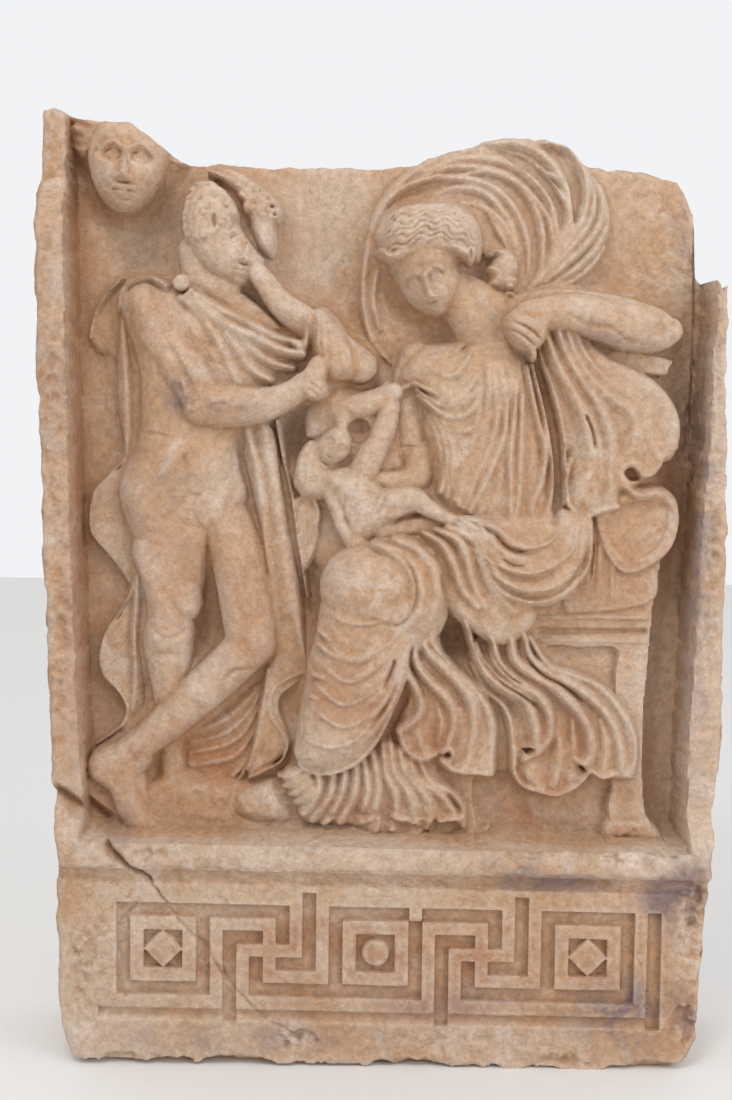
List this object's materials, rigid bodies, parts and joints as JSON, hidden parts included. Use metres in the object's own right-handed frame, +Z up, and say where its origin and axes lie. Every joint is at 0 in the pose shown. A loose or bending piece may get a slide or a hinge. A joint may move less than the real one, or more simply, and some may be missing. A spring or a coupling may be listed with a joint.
{
  "type": "marble relief panel",
  "caption": "Broken marble wall panel with a raised figure scene between side bands, standing on its own carved key-pattern base.",
  "frame": {"origin": "middle of the underside's bounding rectangle, on the surface that the panel stands on", "axes": "+Z up along the panel's height, +X to the viewer's right along its width, +Y into the panel towards its flat back, so the carved face looks along -Y"},
  "size_m": [1.2569, 0.3384, 1.7441],
  "materials": {
    "marble": "weathered, matt, with worn smooth highlights"
  },
  "bodies": {
    "root": {"relief_panel": "marble"}
  },
  "joints": []
}
